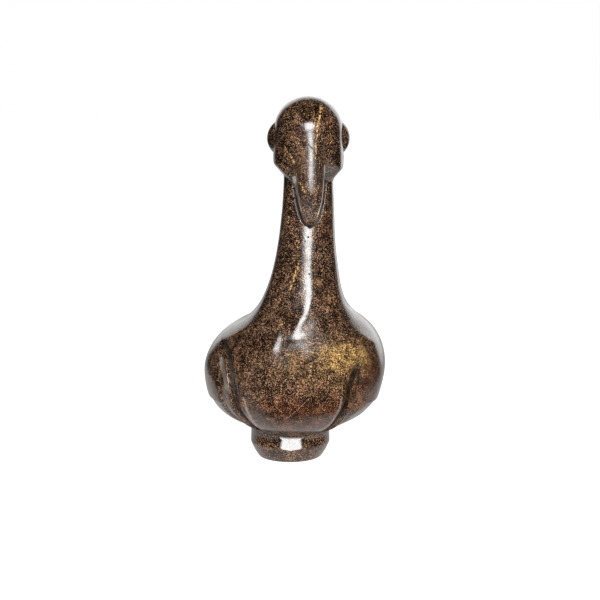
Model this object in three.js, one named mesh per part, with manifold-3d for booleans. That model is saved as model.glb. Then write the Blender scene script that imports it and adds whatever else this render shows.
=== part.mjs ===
// A bird carved from one block of serpentine, sitting on a low round foot of the same stone.
// The bird looks towards -Y, +X is on the right of the one who faces it, and the origin is the middle of
// the foot's underside. Lengths are in millimetres and angles in degrees.
import * as THREE from "three";
import { mergeVertices } from "three/addons/utils/BufferGeometryUtils.js";
import Module from "manifold-3d";

// The whole carving
const HEIGHT = 376;

// The foot: a flat underside, a flare up to a sharp ledge, and above it a band that slopes back at the front
const FOOT_BOTTOM_RADIUS = 32;
const FOOT_LEDGE_RADIUS = 41.5;
const FOOT_LEDGE_HEIGHT = 16;
const FOOT_LEDGE_THICKNESS = 1;
const FOOT_TOP_RADIUS = 41.2;
const FOOT_TOP_HEIGHT = 25;
const FOOT_TOP_BACK = 3;
const FOOT_ROOT = 25;
const FOOT_FLARE = [{ high: 0.2, out: 0.26 }, { high: 0.52, out: 0.6 }];

// The body: a plump egg that leans a little to one side
const BODY_HALF_WIDTH = 95;
const BODY_HALF_LENGTH = 96;
const BODY_HALF_HEIGHT = 64.5;
const BODY_CLEARANCE = 4.5;
const BODY_X = 5;
const BODY_Y = 10;
const BODY_ROLL = 5;
const BODY_LEAN = 0.075;
const BODY_SQUARENESS = 2.2;
const BELLY_SQUARENESS = 2.45;
const WAIST_BLEND = 22;

// One flank is worked flatter than the other
const FLANK_OUT = 91;
const FLANK_DROP = 17;
const FLANK_NORMAL = [0.915, -0.404];
const FLANK_BLEND = 9;

// The breast: a rounder form in front of the body
const BREAST_HALF_WIDTH = 74;
const BREAST_HALF_LENGTH = 78;
const BREAST_HALF_HEIGHT = 62;
const BREAST_FORWARD = 22;
const BREAST_DROP = 5;
const BREAST_SQUARENESS = 2;
const BREAST_BLEND = 10;

// The neck: sections up its height, as a share of the way from the body's centre to the head's centre
const NECK = [
  { at: -0.13, half: 72, x: 8, front: -84, back: 50 },
  { at: 0.11, half: 64, x: 12, front: -82, back: 40 },
  { at: 0.195, half: 57, x: 13, front: -76, back: 31 },
  { at: 0.225, half: 52.5, x: 13.5, front: -73, back: 27 },
  { at: 0.258, half: 48, x: 13.7, front: -70, back: 24 },
  { at: 0.294, half: 43.5, x: 14, front: -66.5, back: 20 },
  { at: 0.357, half: 37.8, x: 14.7, front: -62.5, back: 15 },
  { at: 0.425, half: 33.9, x: 15.9, front: -59, back: 11 },
  { at: 0.504, half: 30.5, x: 16.8, front: -56.5, back: 7.5 },
  { at: 0.603, half: 27.8, x: 17.7, front: -53.5, back: 4 },
  { at: 0.702, half: 26.2, x: 18.5, front: -51, back: 2 },
  { at: 0.798, half: 25.2, x: 18.8, front: -50, back: 1 },
  { at: 1, half: 25, x: 19.2, front: -50, back: 0 },
];
const NECK_TOP = 0.92;
const NECK_ROOT = 23;
const NECK_ROOT_BLEND = 10;
const NECK_BLEND = 20;
const NECK_SQUARENESS = 2.3;

// The tail: a blunt wedge, low at the back
const TAIL_HALF_WIDTH = 36;
const TAIL_HALF_LENGTH = 46;
const TAIL_HALF_HEIGHT = 16;
const TAIL_BACK = 83;
const TAIL_DROP = 21;
const TAIL_TILT = -16;
const TAIL_SQUARENESS = 2.4;
const TAIL_BLEND = 22;

// The folded wings: each starts at a groove beside the breast and ends in a lower edge along the flank
const GROOVE_DEPTH = 7.2;
const GROOVE_WALL = 3;
const BREAST_ROUNDING = 13;
const PANEL_DEPTH = 2.6;
const PANEL_EDGE = 7;
const PANEL_BULGE = 0.7;
const WING_EDGE_DEPTH = 1.8;
const WING_EDGE_WIDTH = 2.5;
const WING_EDGE_START = 2;
const WING_EDGE_FULL = 14;
const WING_TIP_ANGLE = 165;
const WING_TIP_FADE = 20;
const CARVING_CORE = 25;
const LEFT_WING = {
  side: -1,
  line: [[25, 38], [45, 38.5], [65, 38], [80, 39], [96, 41.5], [108, 45], [117, 50], [124, 57], [130, 66]],
  fadeFrom: 120,
  fadeTo: 130,
  panel: 14,
};
const RIGHT_WING = {
  side: 1,
  line: [[25, 34.5], [45, 33.5], [65, 32.5], [83, 33.5], [95, 35.5], [108, 39.5], [118, 45], [128, 52]],
  fadeFrom: 98,
  fadeTo: 116,
  panel: 6,
};
const WING_EDGE = [[36, 38], [42, 55], [48, 66], [60, 66], [90, 62], [130, 66], [165, 86]];

// The head: a round crown on flat cheeks, cut away under the cheeks and jaws
const HEAD_HALF_WIDTH = 34.4;
const HEAD_HALF_LENGTH = 44;
const HEAD_BACK_LENGTH = 40;
const HEAD_CROWN = 32;
const HEAD_CHEEK_DEPTH = 92;
const HEAD_NAPE_DEPTH = 62;
const HEAD_X = 18.8;
const HEAD_Y = -24;
const HEAD_SQUARENESS = 2.6;
const CROWN_SQUARENESS = 1.97;
const CHEEK_SQUARENESS = 3;
const CHEEK_FLARE = 0.05;
const JAWS = [
  { at: [-33.6, 0, -38], normal: [-0.72, -0.1, -0.69] },
  { at: [36.2, 0, -39], normal: [0.745, -0.1, -0.66] },
];
const CHEEKS = [
  { at: [-8, -42, -44], normal: [-0.15, -0.62, -0.77] },
  { at: [20, -41, -31], normal: [0.34, -0.62, -0.7] },
];

// The eyes: a lens on each side of the head
const EYE_RADIUS = 20.5;
const EYE_OUT = 21.4;
const EYE_BACK = 3;
const EYE_DROP = 10;
const EYE_SEAT = 4;

// The beak: it hangs from the forehead down the front of the neck and stays joined to it
const BEAK_HALF_WIDTH = 12.9;
const BEAK_X = 1.8;
const BEAK_TIP_DROP = 96;
const BEAK_FULL_DROP = 45;
const BEAK_TOP_DROP = -8;
const BEAK_TIP_BLUNTNESS = 0.8;
const BEAK_TAPER = 2.3;
const BEAK_CROWN = 4.4;
const BEAK_ROOT = 30;
const BEAK_FLARE = 0.22;
const BEAK_TIP_FLARE = 0.06;
const BEAK_RIDGE = [
  [96, 36],
  [92, 41.5],
  [86, 46],
  [76, 50],
  [60, 52.8],
  [45, 51.5],
  [27, 47.6],
  [14, 45.6],
  [4, 44],
  [-8, 40],
];

// How finely the forms are cut into facets
const FRONT_COLUMNS = 9;
const BACK_COLUMNS = 27;
const BACK_CROWDING = 1.5;
const NARROWEST_RADIUS = 45;
const PANEL_INNER = 5;
const LEAST_PANEL = 7;
const BELLY_ROWS = 16;
const BELLY_CROWDING = 1.4;
const LOWEST_DIP = 80;
const SHOULDER_ROWS = 12;
const SHOULDER_TOP = 1.15;
const NECK_ROWS = 12;
const HEAD_COLUMNS = 36;
const HEAD_ROWS = 18;
const BEAK_ROWS = 16;
const BEAK_ROW_CROWDING = 1.25;
const BEAK_COLUMNS = 12;
const FOOT_SIDES = 48;
const EYE_SIDES = 28;
const EYE_ROWS = 7;

const BODY_Z = FOOT_TOP_HEIGHT + BODY_CLEARANCE + BODY_HALF_HEIGHT;
const HEAD_Z = HEIGHT - HEAD_CROWN;
const NECK_RISE = HEAD_Z - BODY_Z;

// Blends and curves
const radians = THREE.MathUtils.degToRad;
const clamp = THREE.MathUtils.clamp;

function soften(from, to, value) {
  const t = clamp((value - from) / (to - from), 0, 1);
  return t * t * (3 - 2 * t);
}

function blendUnion(a, b, width) {
  const h = clamp(0.5 + (0.5 * (b - a)) / width, 0, 1);
  return b * (1 - h) + a * h - width * h * (1 - h);
}

const blendCut = (a, b, width) => -blendUnion(-a, -b, width);

// A smooth curve through [position, value] stations that never overshoots them.
function curveThrough(stations) {
  const xs = stations.map((s) => s[0]);
  const ys = stations.map((s) => s[1]);
  const gaps = xs.slice(1).map((x, i) => x - xs[i]);
  const slopes = gaps.map((gap, i) => (ys[i + 1] - ys[i]) / gap);
  const tangents = xs.map((x, i) => {
    const before = slopes[i - 1];
    const after = slopes[i];
    if (before === undefined) return after;
    if (after === undefined) return before;
    if (before * after <= 0) return 0;
    const w1 = 2 * gaps[i] + gaps[i - 1];
    const w2 = gaps[i] + 2 * gaps[i - 1];
    return (w1 + w2) / (w1 / before + w2 / after);
  });
  return (value) => {
    const x = clamp(value, xs[0], xs[xs.length - 1]);
    let i = 0;
    while (i < gaps.length - 1 && x > xs[i + 1]) i++;
    const t = (x - xs[i]) / gaps[i];
    const bend = t * t * (3 - 2 * t);
    const leave = t * (1 - t) * (1 - t) * gaps[i] * tangents[i];
    const arrive = t * t * (t - 1) * gaps[i] * tangents[i + 1];
    return ys[i] * (1 - bend) + ys[i + 1] * bend + leave + arrive;
  };
}

// About how far a point lies outside a rounded form with the given half sizes.
function outsideRounded(x, y, z, halfSizes, squareness) {
  const u = [x, y, z].map((value, i) => Math.abs(value / halfSizes[i]) + 1e-9);
  const reach = Math.pow(u.reduce((sum, v) => sum + Math.pow(v, squareness), 0), 1 / squareness);
  const slope = u.map((v, i) => Math.pow(v / reach, squareness - 1) / halfSizes[i]);
  return (reach - 1) / Math.hypot(...slope);
}

// The body, breast, neck and tail as one flowing form
function outsideBody(x, y, z) {
  const c = Math.cos(radians(BODY_ROLL));
  const s = Math.sin(radians(BODY_ROLL));
  const across = c * (x - BODY_X) + s * (z - BODY_Z);
  const high = -s * (x - BODY_X) + c * (z - BODY_Z);
  const deeper = 1 + BODY_LEAN * clamp(across / BODY_HALF_WIDTH, -1, 1);
  const sizes = [BODY_HALF_WIDTH, BODY_HALF_LENGTH, BODY_HALF_HEIGHT * deeper];
  const upper = soften(-WAIST_BLEND, WAIST_BLEND, high);
  const squareness = THREE.MathUtils.lerp(BELLY_SQUARENESS, BODY_SQUARENESS, upper);
  const egg = outsideRounded(across, y - BODY_Y, high, sizes, squareness);
  const flank = FLANK_NORMAL[0] * (x - BODY_X - FLANK_OUT) + FLANK_NORMAL[1] * (z - BODY_Z + FLANK_DROP);
  return blendCut(egg, flank, FLANK_BLEND);
}

function outsideBreast(x, y, z) {
  const sizes = [BREAST_HALF_WIDTH, BREAST_HALF_LENGTH, BREAST_HALF_HEIGHT];
  const ahead = y - BODY_Y + BREAST_FORWARD;
  return outsideRounded(x - BODY_X, ahead, z - BODY_Z + BREAST_DROP, sizes, BREAST_SQUARENESS);
}

const neckHalf = curveThrough(NECK.map((n) => [n.at, n.half]));
const neckX = curveThrough(NECK.map((n) => [n.at, n.x]));
const neckFront = curveThrough(NECK.map((n) => [n.at, n.front]));
const neckBack = curveThrough(NECK.map((n) => [n.at, n.back]));

function neckSection(z) {
  const at = (z - BODY_Z) / NECK_RISE;
  const front = neckFront(at);
  const back = neckBack(at);
  return { x: neckX(at), y: (front + back) / 2, halfWidth: neckHalf(at), halfDepth: (back - front) / 2 };
}

function outsideOval(x, y, halfWidth, halfDepth) {
  const u = Math.abs(x / halfWidth) + 1e-9;
  const v = Math.abs(y / halfDepth) + 1e-9;
  const reach = Math.pow(Math.pow(u, NECK_SQUARENESS) + Math.pow(v, NECK_SQUARENESS), 1 / NECK_SQUARENESS);
  const slopeX = Math.pow(u / reach, NECK_SQUARENESS - 1) / halfWidth;
  const slopeY = Math.pow(v / reach, NECK_SQUARENESS - 1) / halfDepth;
  return (reach - 1) / Math.hypot(slopeX, slopeY);
}

function outsideNeck(x, y, z) {
  const n = neckSection(z);
  const outside = outsideOval(x - n.x, y - n.y, n.halfWidth, n.halfDepth);
  return blendCut(outside, BODY_Z - NECK_ROOT - z, NECK_ROOT_BLEND);
}

function outsideTail(x, y, z) {
  const c = Math.cos(radians(TAIL_TILT));
  const s = Math.sin(radians(TAIL_TILT));
  const back = y - BODY_Y - TAIL_BACK;
  const high = z - BODY_Z + TAIL_DROP;
  const sizes = [TAIL_HALF_WIDTH, TAIL_HALF_LENGTH, TAIL_HALF_HEIGHT];
  return outsideRounded(x - BODY_X, c * back + s * high, -s * back + c * high, sizes, TAIL_SQUARENESS);
}

// The wings' carving, as a depth cut into the flowing form
const wings = [LEFT_WING, RIGHT_WING].map((w) => ({ ...w, angleAt: curveThrough(w.line) }));
const wingEdgeHeight = curveThrough(WING_EDGE);

function panelWidth(wing, z) {
  const share = clamp((z - wing.line[0][0]) / (wing.fadeTo - wing.line[0][0]), 0, 1);
  return GROOVE_WALL + wing.panel * Math.pow(Math.sin(Math.PI * share), PANEL_BULGE) + 1e-3;
}

function grooveCut(out, wide) {
  if (out < -BREAST_ROUNDING) return 0;
  if (out < 0) return GROOVE_DEPTH * Math.pow(1 + out / BREAST_ROUNDING, 2);
  if (out < GROOVE_WALL) return GROOVE_DEPTH * (1 - soften(0, GROOVE_WALL, out));
  return PANEL_DEPTH * soften(GROOVE_WALL, wide, out) * (1 - soften(wide, wide + PANEL_EDGE, out));
}

function wingCut(x, y, z) {
  const ahead = BODY_Y - y;
  const aside = x - BODY_X;
  const radius = Math.hypot(aside, ahead);
  const angle = THREE.MathUtils.radToDeg(Math.atan2(aside, ahead));
  const nearAxis = soften(0, CARVING_CORE, radius);
  let cut = 0;
  for (const wing of wings) {
    const beyond = wing.side * angle - wing.angleAt(z);
    const out = radians(beyond) * radius;
    const fade = nearAxis * (1 - soften(wing.fadeFrom, wing.fadeTo, z));
    cut += fade * grooveCut(out, panelWidth(wing, z));
    const turned = wing.side * angle;
    const below = 1 - soften(0, WING_EDGE_WIDTH, z - wingEdgeHeight(turned));
    const along = soften(WING_EDGE_START, WING_EDGE_FULL, out);
    const tip = 1 - soften(WING_TIP_ANGLE - WING_TIP_FADE, WING_TIP_ANGLE, turned);
    cut += nearAxis * WING_EDGE_DEPTH * below * along * tip;
  }
  return cut;
}

function outsideTrunk(x, y, z) {
  let d = blendUnion(outsideBody(x, y, z), outsideBreast(x, y, z), BREAST_BLEND);
  d = blendUnion(d, outsideNeck(x, y, z), NECK_BLEND);
  d = blendUnion(d, outsideTail(x, y, z), TAIL_BLEND);
  return d + wingCut(x, y, z);
}

// The last point along a ray that is still in the stone.
function surfaceAlong(outside, origin, direction, reach) {
  let near = 0;
  let far = reach;
  for (let i = 0; i < 40; i++) {
    const middle = (near + far) / 2;
    const p = origin.clone().addScaledVector(direction, middle);
    if (outside(p.x, p.y, p.z) < 0) near = middle;
    else far = middle;
  }
  return origin.clone().addScaledVector(direction, near);
}

// Skins closed rings of points, listed from bottom to top, with a point at each end.
function skin(rings, bottom, top) {
  const points = [bottom, ...rings.flat(), top];
  const sides = rings[0].length;
  const faces = [];
  for (let i = 0; i < sides; i++) {
    const next = (i + 1) % sides;
    faces.push(0, 1 + next, 1 + i);
    for (let row = 0; row < rings.length - 1; row++) {
      const low = 1 + row * sides;
      const high = low + sides;
      faces.push(low + i, low + next, high + next, low + i, high + next, high + i);
    }
    const last = 1 + (rings.length - 1) * sides;
    faces.push(last + i, last + next, points.length - 1);
  }
  const geometry = new THREE.BufferGeometry().setFromPoints(points);
  geometry.setIndex(faces);
  return geometry;
}

// Evenly spread angles, or closer together in the middle when crowding is above 1.
function spread(from, to, count, crowding) {
  return Array.from({ length: count }, (_, i) => {
    const share = (2 * i + 1) / count - 1;
    const shifted = Math.sign(share) * Math.pow(Math.abs(share), crowding);
    return (from + to) / 2 + ((to - from) / 2) * shifted;
  });
}

// Columns run beside each groove at set distances from it, so that facets follow the carving.
function columnAngles(radius, z) {
  const rails = wings.map((wing) => {
    const wide = panelWidth(wing, z);
    const outs = [-BREAST_ROUNDING, -BREAST_ROUNDING / 2, -BREAST_ROUNDING / 5, 0, GROOVE_WALL];
    const panelEdge = Math.max(wide, GROOVE_WALL + LEAST_PANEL);
    outs.push(GROOVE_WALL + PANEL_INNER, panelEdge, panelEdge + PANEL_EDGE);
    const across = Math.max(radius, NARROWEST_RADIUS);
    return outs.map((out) => wing.side * (wing.angleAt(z) + THREE.MathUtils.radToDeg(out / across)));
  });
  const left = rails[0].reverse();
  const right = rails[1];
  const front = spread(left[left.length - 1], right[0], FRONT_COLUMNS, 1);
  const back = spread(right[right.length - 1], 360 + left[0], BACK_COLUMNS, BACK_CROWDING);
  return [...left, ...front, ...right, ...back];
}

function trunkRing(originOf, directionOf, startZ) {
  const columns = columnAngles(BODY_HALF_WIDTH, startZ).length;
  return Array.from({ length: columns }, (_, i) => {
    let radius = BODY_HALF_WIDTH * 0.9;
    let z = startZ;
    let point;
    for (let pass = 0; pass < 4; pass++) {
      const angle = radians(columnAngles(radius, z)[i]);
      point = surfaceAlong(outsideTrunk, originOf(), directionOf(angle), 2 * BODY_HALF_LENGTH);
      radius = Math.hypot(point.x - BODY_X, point.y - BODY_Y);
      z = point.z;
    }
    return point;
  });
}

function trunkGeometry() {
  const rings = [];
  const centre = new THREE.Vector3(BODY_X, BODY_Y, BODY_Z);
  for (let row = 0; row < BELLY_ROWS; row++) {
    const dip = -radians(LOWEST_DIP) * Math.pow(1 - row / BELLY_ROWS, BELLY_CROWDING);
    const towards = (angle) =>
      new THREE.Vector3(Math.sin(angle) * Math.cos(dip), -Math.cos(angle) * Math.cos(dip), Math.sin(dip));
    const guess = BODY_Z + Math.sin(dip) * BODY_HALF_HEIGHT;
    rings.push(trunkRing(() => centre, towards, guess));
  }
  const level = (angle) => new THREE.Vector3(Math.sin(angle), -Math.cos(angle), 0);
  const shoulders = BODY_Z + BODY_HALF_HEIGHT * SHOULDER_TOP;
  const top = BODY_Z + NECK_RISE * NECK_TOP;
  const heights = [];
  for (let i = 0; i < SHOULDER_ROWS; i++) heights.push(BODY_Z + ((shoulders - BODY_Z) * i) / SHOULDER_ROWS);
  for (let i = 0; i <= NECK_ROWS; i++) heights.push(shoulders + ((top - shoulders) * i) / NECK_ROWS);
  for (const z of heights) {
    const neck = neckSection(z);
    const share = soften(BODY_Z, shoulders, z);
    const axis = new THREE.Vector3(
      THREE.MathUtils.lerp(BODY_X, neck.x, share),
      THREE.MathUtils.lerp(BODY_Y, neck.y, share),
      z,
    );
    rings.push(trunkRing(() => axis, level, z));
  }
  const under = surfaceAlong(outsideTrunk, centre, new THREE.Vector3(0, 0, -1), BODY_HALF_HEIGHT * 2);
  const neck = neckSection(top);
  return skin(rings, under, new THREE.Vector3(neck.x, neck.y, top));
}

// The head
function outsideSkull(x, y, z) {
  const depth = y > 0 ? HEAD_BACK_LENGTH : HEAD_HALF_LENGTH;
  const lower = y > 0 ? HEAD_NAPE_DEPTH : HEAD_CHEEK_DEPTH;
  const high = z > 0 ? HEAD_CROWN : lower;
  const power = z > 0 ? CROWN_SQUARENESS : CHEEK_SQUARENESS;
  const flare = 1 + CHEEK_FLARE * soften(0, 1, -z / HEAD_CROWN);
  const u = Math.abs(x) / (HEAD_HALF_WIDTH * flare);
  const v = Math.abs(y) / depth;
  const ring = Math.pow(Math.pow(u, HEAD_SQUARENESS) + Math.pow(v, HEAD_SQUARENESS), 1 / HEAD_SQUARENESS);
  return Math.pow(Math.pow(ring, power) + Math.pow(Math.abs(z) / high, power), 1 / power) - 1;
}

function skullGeometry() {
  const centre = new THREE.Vector3();
  const reach = HEAD_CHEEK_DEPTH + HEAD_HALF_LENGTH;
  const rings = [];
  for (let row = 1; row < HEAD_ROWS; row++) {
    const rise = radians(-90 + (180 * row) / HEAD_ROWS);
    const ring = [];
    for (let i = 0; i < HEAD_COLUMNS; i++) {
      const angle = (2 * Math.PI * i) / HEAD_COLUMNS;
      const towards = new THREE.Vector3(
        Math.sin(angle) * Math.cos(rise),
        -Math.cos(angle) * Math.cos(rise),
        Math.sin(rise),
      );
      ring.push(surfaceAlong(outsideSkull, centre, towards, reach));
    }
    rings.push(ring);
  }
  const bottom = surfaceAlong(outsideSkull, centre, new THREE.Vector3(0, 0, -1), reach);
  const top = surfaceAlong(outsideSkull, centre, new THREE.Vector3(0, 0, 1), reach);
  return skin(rings, bottom, top).translate(HEAD_X, HEAD_Y, HEAD_Z);
}

// A block that takes away everything in front of a plane, within some width of the point it passes through.
function cuttingBlock(at, normal, width) {
  const outward = new THREE.Vector3(...normal).normalize();
  const thickness = 2 * HEAD_BACK_LENGTH;
  const block = new THREE.BoxGeometry(width, 3 * HEAD_HALF_LENGTH, thickness);
  block.translate(0, 0, thickness / 2);
  const turn = new THREE.Quaternion().setFromUnitVectors(new THREE.Vector3(0, 0, 1), outward);
  return block.applyQuaternion(turn).translate(...at);
}

function eyeGeometry(side) {
  const inner = HEAD_HALF_WIDTH - EYE_OUT - EYE_SEAT;
  const start = Math.acos(inner / EYE_RADIUS);
  const profile = [new THREE.Vector2(0, inner)];
  for (let i = 0; i < EYE_ROWS; i++) {
    const angle = start * (1 - i / EYE_ROWS);
    profile.push(new THREE.Vector2(EYE_RADIUS * Math.sin(angle), EYE_RADIUS * Math.cos(angle)));
  }
  profile.push(new THREE.Vector2(0, EYE_RADIUS));
  const lens = new THREE.LatheGeometry(profile, EYE_SIDES);
  lens.rotateZ((-side * Math.PI) / 2);
  return lens.translate(HEAD_X + side * EYE_OUT, HEAD_Y + EYE_BACK, HEAD_Z - EYE_DROP);
}

// The beak, in level sections from its tip up to the forehead
const beakRidge = curveThrough(BEAK_RIDGE.map(([drop, forward]) => [-drop, forward]));

function beakGeometry() {
  const rings = [];
  for (let row = 0; row < BEAK_ROWS; row++) {
    const share = Math.pow(row / (BEAK_ROWS - 1), BEAK_ROW_CROWDING);
    const drop = THREE.MathUtils.lerp(BEAK_TIP_DROP - BEAK_TIP_BLUNTNESS, BEAK_TOP_DROP, share);
    const taper = clamp((drop - BEAK_FULL_DROP) / (BEAK_TIP_DROP - BEAK_FULL_DROP), 0, 1);
    const half = BEAK_HALF_WIDTH * Math.sqrt(1 - Math.pow(taper, BEAK_TAPER));
    const flare = THREE.MathUtils.lerp(BEAK_FLARE, BEAK_TIP_FLARE, taper);
    const front = HEAD_Y - beakRidge(-drop);
    const ring = [];
    for (let i = 0; i <= BEAK_COLUMNS; i++) {
      const across = half * Math.sin((Math.PI / 2) * (-1 + (2 * i) / BEAK_COLUMNS));
      const rounding = BEAK_CROWN * Math.pow(across / BEAK_HALF_WIDTH, 2);
      ring.push(new THREE.Vector3(across, front + rounding, -drop));
    }
    const wide = half + flare * (-BEAK_ROOT - front);
    ring.push(new THREE.Vector3(wide, -BEAK_ROOT, -drop));
    ring.push(new THREE.Vector3(-wide, -BEAK_ROOT, -drop));
    rings.push(ring);
  }
  const middle = (ring) => {
    const sum = ring.reduce((total, p) => total.add(p), new THREE.Vector3());
    return sum.divideScalar(ring.length);
  };
  const geometry = skin(rings, middle(rings[0]), middle(rings[rings.length - 1]));
  return geometry.translate(HEAD_X + BEAK_X, 0, HEAD_Z);
}

function footGeometry() {
  const flare = FOOT_FLARE.map(({ high, out }) => [
    THREE.MathUtils.lerp(FOOT_BOTTOM_RADIUS, FOOT_LEDGE_RADIUS, out),
    FOOT_LEDGE_HEIGHT * high,
  ]);
  const profile = [
    [0, 0],
    [FOOT_BOTTOM_RADIUS, 0],
    ...flare,
    [FOOT_LEDGE_RADIUS, FOOT_LEDGE_HEIGHT],
    [FOOT_LEDGE_RADIUS, FOOT_LEDGE_HEIGHT + FOOT_LEDGE_THICKNESS],
    [FOOT_TOP_RADIUS, FOOT_TOP_HEIGHT],
    [FOOT_TOP_RADIUS, FOOT_TOP_HEIGHT + FOOT_ROOT],
    [0, FOOT_TOP_HEIGHT + FOOT_ROOT],
  ];
  const lathe = new THREE.LatheGeometry(profile.map((p) => new THREE.Vector2(...p)), FOOT_SIDES);
  lathe.rotateX(Math.PI / 2);
  const places = lathe.attributes.position;
  for (let i = 0; i < places.count; i++) {
    const up = (places.getZ(i) - FOOT_LEDGE_HEIGHT) / (FOOT_TOP_HEIGHT - FOOT_LEDGE_HEIGHT);
    places.setY(i, places.getY(i) + FOOT_TOP_BACK * clamp(up, 0, 1));
  }
  return lathe;
}

// Solids are joined and cut as closed meshes.
const wasm = await Module();
wasm.setup();

function solid(geometry) {
  const bare = geometry.clone();
  for (const name of Object.keys(bare.attributes)) if (name !== "position") bare.deleteAttribute(name);
  const merged = mergeVertices(bare, 1e-3);
  const vertProperties = new Float32Array(merged.attributes.position.array);
  const triVerts = new Uint32Array(merged.index.array);
  return new wasm.Manifold(new wasm.Mesh({ numProp: 3, vertProperties, triVerts }));
}

function geometryOf(joined) {
  const mesh = joined.getMesh();
  const geometry = new THREE.BufferGeometry();
  geometry.setAttribute("position", new THREE.BufferAttribute(new Float32Array(mesh.vertProperties), 3));
  geometry.setIndex(new THREE.BufferAttribute(new Uint32Array(mesh.triVerts), 1));
  geometry.computeVertexNormals();
  return geometry;
}

function headSolid() {
  let head = solid(skullGeometry());
  for (const cheek of CHEEKS) {
    const at = [HEAD_X + cheek.at[0], HEAD_Y + cheek.at[1], HEAD_Z + cheek.at[2]];
    head = head.subtract(solid(cuttingBlock(at, cheek.normal, 2 * HEAD_HALF_WIDTH)));
  }
  for (const jaw of JAWS) {
    const at = [HEAD_X + jaw.at[0], HEAD_Y + jaw.at[1], HEAD_Z + jaw.at[2]];
    head = head.subtract(solid(cuttingBlock(at, jaw.normal, 3 * HEAD_HALF_LENGTH)));
  }
  return head.add(solid(eyeGeometry(-1))).add(solid(eyeGeometry(1)));
}

const bird = solid(trunkGeometry())
  .add(solid(footGeometry()))
  .add(headSolid())
  .add(solid(beakGeometry()));

const stone = new THREE.MeshStandardMaterial({ color: 0x3a2c20, roughness: 0.25, metalness: 0 });
const carving = new THREE.Mesh(geometryOf(bird), stone);
carving.name = "serpentine_bird";

const model = new THREE.Group();
model.add(carving);

export default model;
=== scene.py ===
"""Serpentine bird: the polished stone carving and the plain studio it stands in.

The CAD solid gives the size and pose. Here the same forms are cut finer, with soft hand-worked creases,
and get their mottled, polished stone. Lengths in the carving's tables are in millimetres.
"""
import math

import bpy
import numpy as np
from bpy.props import FloatProperty, FloatVectorProperty, IntProperty, PointerProperty
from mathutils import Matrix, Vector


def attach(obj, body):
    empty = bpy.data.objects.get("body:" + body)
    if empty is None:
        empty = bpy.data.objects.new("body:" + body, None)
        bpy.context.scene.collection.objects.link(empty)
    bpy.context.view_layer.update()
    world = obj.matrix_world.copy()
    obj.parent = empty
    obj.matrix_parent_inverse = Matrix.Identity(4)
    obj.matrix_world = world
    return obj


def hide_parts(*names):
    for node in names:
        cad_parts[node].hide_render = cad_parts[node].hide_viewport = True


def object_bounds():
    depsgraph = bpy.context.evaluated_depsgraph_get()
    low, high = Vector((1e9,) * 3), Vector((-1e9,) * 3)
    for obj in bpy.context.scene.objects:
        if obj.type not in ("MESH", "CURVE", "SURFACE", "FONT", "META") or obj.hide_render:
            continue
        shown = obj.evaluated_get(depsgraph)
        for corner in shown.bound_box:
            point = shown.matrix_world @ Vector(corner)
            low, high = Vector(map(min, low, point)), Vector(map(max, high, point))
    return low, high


bl_info = {
    "name": "Serpentine Bird",
    "version": (1, 0, 0),
    "blender": (4, 5, 0),
    "location": "View3D > Sidebar > Bird",
    "description": "Carves a long-necked stone bird, polishes it and sets up its studio",
    "category": "Object",
}

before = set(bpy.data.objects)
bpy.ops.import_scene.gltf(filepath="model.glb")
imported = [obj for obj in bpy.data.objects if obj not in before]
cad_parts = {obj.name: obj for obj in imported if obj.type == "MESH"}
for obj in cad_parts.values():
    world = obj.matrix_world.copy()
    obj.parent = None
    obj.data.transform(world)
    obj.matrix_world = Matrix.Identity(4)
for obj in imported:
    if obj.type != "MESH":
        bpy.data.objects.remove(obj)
CAD_BOX = [list(corner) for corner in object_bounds()]

NODE = "serpentine_bird"
MM = 0.001

# The foot
FOOT_BOTTOM_RADIUS = 32.0
FOOT_LEDGE_RADIUS = 41.5
FOOT_LEDGE_HEIGHT = 16.0
FOOT_TOP_RADIUS = 41.2
FOOT_TOP_HEIGHT = 25.0
FOOT_TOP_BACK = 3.0
FOOT_ROOT = 25.0
FOOT_SEAM = 0.9
FOOT_FLAT = ((0.0, -39.8, 16.0), (0.025, -0.951, 0.309))
FOOT_FLARE = [(0.0, 0.0), (0.2, 0.26), (0.52, 0.6), (1.0, 1.0)]

# The body, its flatter flank and the breast
BODY_HALF = (95.0, 96.0, 64.5)
BODY_CLEARANCE = 4.5
BODY_X = 5.0
BODY_Y = 10.0
BODY_Z = FOOT_TOP_HEIGHT + BODY_CLEARANCE + BODY_HALF[2]
BODY_ROLL = 5.0
BODY_LEAN = 0.075
BODY_SQUARENESS = 2.2
BELLY_SQUARENESS = 2.45
WAIST_BLEND = 22.0
FLANK_OUT = 91.0
FLANK_DROP = 17.0
FLANK_NORMAL = (0.915, -0.404)
FLANK_BLEND = 9.0
BREAST_HALF = (74.0, 78.0, 62.0)
BREAST_FORWARD = 22.0
BREAST_DROP = 5.0
BREAST_BLEND = 10.0

# The neck's sections: share of the way up to the head, half width, middle, front and back
NECK = [
    (-0.13, 72.0, 8.0, -84.0, 50.0),
    (0.11, 64.0, 12.0, -82.0, 40.0),
    (0.195, 57.0, 13.0, -76.0, 31.0),
    (0.225, 52.5, 13.5, -73.0, 27.0),
    (0.258, 48.0, 13.7, -70.0, 24.0),
    (0.294, 43.5, 14.0, -66.5, 20.0),
    (0.357, 37.8, 14.7, -62.5, 15.0),
    (0.425, 33.9, 15.9, -59.0, 11.0),
    (0.504, 30.5, 16.8, -56.5, 7.5),
    (0.603, 27.8, 17.7, -53.5, 4.0),
    (0.702, 26.2, 18.5, -51.0, 2.0),
    (0.798, 25.2, 18.8, -50.0, 1.0),
    (1.0, 25.0, 19.2, -50.0, 0.0),
]
NECK_TOP = 0.92
NECK_ROOT = 23.0
NECK_ROOT_BLEND = 10.0
NECK_BLEND = 20.0
NECK_SQUARENESS = 2.3

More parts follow.
